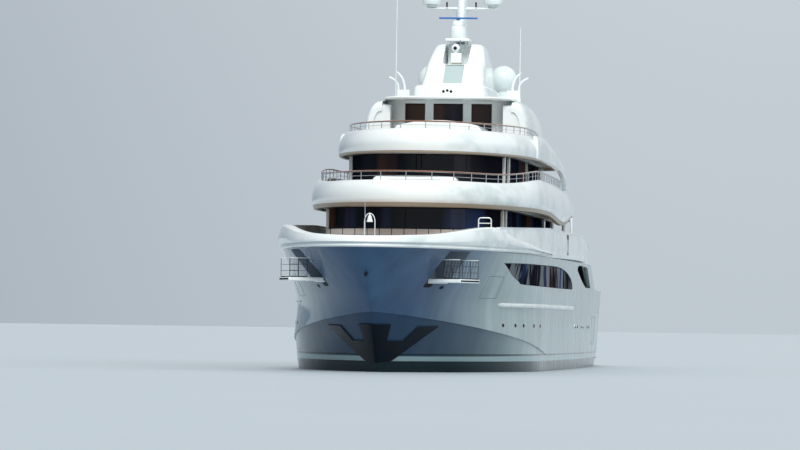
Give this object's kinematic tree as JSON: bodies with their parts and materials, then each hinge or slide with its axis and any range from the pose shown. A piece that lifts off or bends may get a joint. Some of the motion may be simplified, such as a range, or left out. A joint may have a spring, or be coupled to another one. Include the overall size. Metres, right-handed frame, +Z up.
{
  "type": "motor yacht 1:10 scale model",
  "caption": "Four-deck displacement motor yacht at 1:10, held at its waterline, with turning running gear, doors and fold-out mooring platforms.",
  "frame": {"origin": "on the centreline amidships at the waterline, where the water holds the hull", "axes": "+X to the bow, +Y to port, +Z up"},
  "size_m": [8.469, 1.6182, 2.9228],
  "materials": {
    "hull_paint": "gloss enamel",
    "white_paint": "gloss enamel",
    "glass": "dark tinted glass",
    "steel": "satin stainless steel",
    "dark_steel": "polished dark steel",
    "teak": "oiled teak",
    "bronze": "bare propeller bronze",
    "blue_plastic": "satin moulding",
    "white_plastic": "satin dome skin"
  },
  "bodies": {
    "root": {"hull": "hull_paint", "rub_rail_port": "white_paint", "rub_rail_starboard": "white_paint", "bow_band": "white_paint", "side_bulwark_port": "white_paint", "side_bulwark_starboard": "white_paint", "upper_house": "white_paint", "bridge_house": "white_paint", "sun_house": "white_paint", "main_house": "white_paint", "bridge_deck": "white_paint", "sun_deck": "white_paint", "sun_wing_port": "white_paint", "sun_wing_starboard": "white_paint", "hardtop": "white_paint", "mast_fairing": "white_paint", "mast": "white_paint", "bell": "white_paint", "hull_window_port": "glass", "hull_window_starboard": "glass", "upper_glass": "glass", "bridge_glass": "glass", "sun_glass": "glass", "main_glass": "glass", "bridge_rail": "steel", "sun_rail": "steel", "shaft_port": "steel", "shaft_starboard": "steel", "stem_plates": "dark_steel", "upper_deck": "teak", "swim_platform": "teak", "stairs_port": "teak", "stairs_starboard": "teak", "sat_dome_port": "white_plastic", "sat_dome_starboard": "white_plastic", "mast_dome_port": "white_plastic", "mast_dome_starboard": "white_plastic", "whip_port": "white_plastic", "whip_starboard": "white_plastic"},
    "propeller_port": {"propeller_port": "bronze"},
    "rudder_port": {"rudder_port": "steel"},
    "fin_port": {"fin_port": "hull_paint"},
    "platform_port": {"platform_port": "white_paint"},
    "platform_rail_fore_port": {"platform_rail_fore_port": "steel"},
    "platform_rail_aft_port": {"platform_rail_aft_port": "steel"},
    "main_door_port": {"main_door_port": "glass"},
    "upper_door_port": {"upper_door_port": "glass"},
    "propeller_starboard": {"propeller_starboard": "bronze"},
    "rudder_starboard": {"rudder_starboard": "steel"},
    "fin_starboard": {"fin_starboard": "hull_paint"},
    "platform_starboard": {"platform_starboard": "white_paint"},
    "platform_rail_fore_starboard": {"platform_rail_fore_starboard": "steel"},
    "platform_rail_aft_starboard": {"platform_rail_aft_starboard": "steel"},
    "main_door_starboard": {"main_door_starboard": "glass"},
    "upper_door_starboard": {"upper_door_starboard": "glass"},
    "radar_bar": {"radar_bar": "blue_plastic"},
    "transom_door": {"transom_door": "hull_paint"}
  },
  "joints": [
    {"name": "propeller_port_spin", "type": "hinge", "parent": "root", "child": "propeller_port", "pos_m": [-3.176, 0.27, -0.225], "axis": [1, 0, 0], "continuous": true},
    {"name": "rudder_port_turn", "type": "hinge", "parent": "root", "child": "rudder_port", "pos_m": [-3.45, 0.27, -0.078], "axis": [0, 0, 1], "range_deg": [-35, 35]},
    {"name": "fin_port_turn", "type": "hinge", "parent": "root", "child": "fin_port", "pos_m": [-0.15, 0.63, -0.26], "axis": [0, 0.788, -0.6157], "range_deg": [-20, 20]},
    {"name": "platform_port_fold", "type": "hinge", "parent": "root", "child": "platform_port", "pos_m": [3.59, 0.32, 0.485], "axis": [0.9336, -0.3584, 0], "range_deg": [0, 47]},
    {"name": "platform_rail_fore_port_fold", "type": "hinge", "parent": "platform_port", "child": "platform_rail_fore_port", "pos_m": [3.69083, 0.2813, 0.5084], "axis": [-0.3584, -0.9336, 0], "range_deg": [0, 86]},
    {"name": "platform_rail_aft_port_fold", "type": "hinge", "parent": "platform_port", "child": "platform_rail_aft_port", "pos_m": [3.48917, 0.3587, 0.5084], "axis": [0.3584, 0.9336, 0], "range_deg": [0, 86]},
    {"name": "propeller_starboard_spin", "type": "hinge", "parent": "root", "child": "propeller_starboard", "pos_m": [-3.176, -0.27, -0.225], "axis": [1, 0, 0], "continuous": true},
    {"name": "rudder_starboard_turn", "type": "hinge", "parent": "root", "child": "rudder_starboard", "pos_m": [-3.45, -0.27, -0.078], "axis": [0, 0, 1], "range_deg": [-35, 35]},
    {"name": "fin_starboard_turn", "type": "hinge", "parent": "root", "child": "fin_starboard", "pos_m": [-0.15, -0.63, -0.26], "axis": [0, 0.788, 0.6157], "range_deg": [-20, 20]},
    {"name": "platform_starboard_fold", "type": "hinge", "parent": "root", "child": "platform_starboard", "pos_m": [3.59, -0.32, 0.485], "axis": [-0.9336, -0.3584, 0], "range_deg": [0, 47]},
    {"name": "platform_rail_fore_starboard_fold", "type": "hinge", "parent": "platform_starboard", "child": "platform_rail_fore_starboard", "pos_m": [3.69083, -0.2813, 0.5084], "axis": [0.3584, -0.9336, 0], "range_deg": [0, 86]},
    {"name": "platform_rail_aft_starboard_fold", "type": "hinge", "parent": "platform_starboard", "child": "platform_rail_aft_starboard", "pos_m": [3.48917, -0.3587, 0.5084], "axis": [-0.3584, 0.9336, 0], "range_deg": [0, 86]},
    {"name": "radar_spin", "type": "hinge", "parent": "root", "child": "radar_bar", "pos_m": [-0.1, 0, 2.136], "axis": [0, 0, 1], "continuous": true},
    {"name": "transom_door_lift", "type": "hinge", "parent": "root", "child": "transom_door", "pos_m": [-3.626, 0, 0.35], "axis": [0, 1, 0], "range_deg": [0, 80]},
    {"name": "main_door_port_slide", "type": "slide", "parent": "root", "child": "main_door_port", "axis": [0, 1, 0], "range_m": [0, 0.145]},
    {"name": "main_door_starboard_slide", "type": "slide", "parent": "root", "child": "main_door_starboard", "axis": [0, -1, 0], "range_m": [0, 0.145]},
    {"name": "upper_door_port_slide", "type": "slide", "parent": "root", "child": "upper_door_port", "axis": [0, 1, 0], "range_m": [0, 0.145]},
    {"name": "upper_door_starboard_slide", "type": "slide", "parent": "root", "child": "upper_door_starboard", "axis": [0, -1, 0], "range_m": [0, 0.145]}
  ],
  "couplings": [
    {"joint": "rudder_starboard_turn", "follows": "rudder_port_turn", "ratio": 1},
    {"joint": "platform_rail_fore_port_fold", "follows": "platform_port_fold", "ratio": 1.8298},
    {"joint": "platform_rail_aft_port_fold", "follows": "platform_port_fold", "ratio": 1.8298},
    {"joint": "platform_rail_fore_starboard_fold", "follows": "platform_starboard_fold", "ratio": 1.8298},
    {"joint": "platform_rail_aft_starboard_fold", "follows": "platform_starboard_fold", "ratio": 1.8298},
    {"joint": "main_door_starboard_slide", "follows": "main_door_port_slide", "ratio": 1},
    {"joint": "upper_door_starboard_slide", "follows": "upper_door_port_slide", "ratio": 1}
  ]
}
